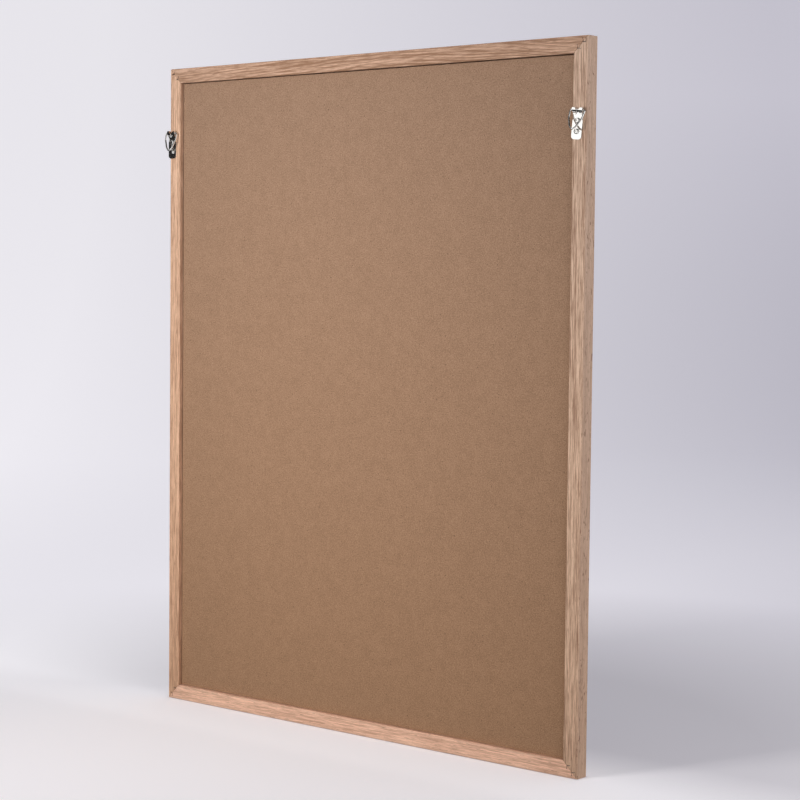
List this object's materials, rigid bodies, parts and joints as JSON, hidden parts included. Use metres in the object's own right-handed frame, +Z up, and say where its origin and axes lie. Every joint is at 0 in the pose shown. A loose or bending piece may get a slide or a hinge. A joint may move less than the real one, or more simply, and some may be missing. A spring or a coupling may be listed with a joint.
{
  "type": "felt letter board",
  "caption": "Tall felt letter board: a mitred light wood frame round a grooved felt panel, with a plain board behind and a strap hanger with a swinging ring at the top of each stile.",
  "frame": {"origin": "the middle of the flat underside that the board stands on, midway between the frame's front and back faces", "axes": "+Z up along the stiles; -Y out of the felt; +Y out of the back, towards the wall; +X to the left when the board is seen from behind"},
  "size_m": [0.6148, 0.028, 0.762],
  "materials": {
    "oak": "satin",
    "back_board": "matte",
    "core_board": "matte",
    "felt": "matte",
    "bright_nickel": "polished",
    "nail_steel": "satin"
  },
  "bodies": {
    "board": {"frame_top_rail": "oak", "frame_bottom_rail": "oak", "frame_left_stile": "oak", "frame_right_stile": "oak", "corner_nail_top_left_outer": "nail_steel", "corner_nail_top_left_inner": "nail_steel", "corner_nail_top_right_outer": "nail_steel", "corner_nail_top_right_inner": "nail_steel", "corner_nail_bottom_left_outer": "nail_steel", "corner_nail_bottom_left_inner": "nail_steel", "corner_nail_bottom_right_outer": "nail_steel", "corner_nail_bottom_right_inner": "nail_steel", "felt_cover": "felt", "letter_panel_core": "core_board", "back_panel": "back_board", "left_hanger_strap": "bright_nickel", "left_hanger_upper_screw": "bright_nickel", "left_hanger_lower_screw": "bright_nickel", "right_hanger_strap": "bright_nickel", "right_hanger_upper_screw": "bright_nickel", "right_hanger_lower_screw": "bright_nickel"},
    "left_ring": {"left_hanger_ring": "bright_nickel"},
    "right_ring": {"right_hanger_ring": "bright_nickel"}
  },
  "joints": [
    {"name": "left_ring_swing", "type": "hinge", "parent": "board", "child": "left_ring", "pos_m": [0.3002, 0.0108, 0.6852], "axis": [1, 0, 0], "range_deg": [-8.5, 166]},
    {"name": "right_ring_swing", "type": "hinge", "parent": "board", "child": "right_ring", "pos_m": [-0.2949, 0.0108, 0.687], "axis": [0.9957, 0, 0.0924], "range_deg": [-16.5, 158]}
  ]
}
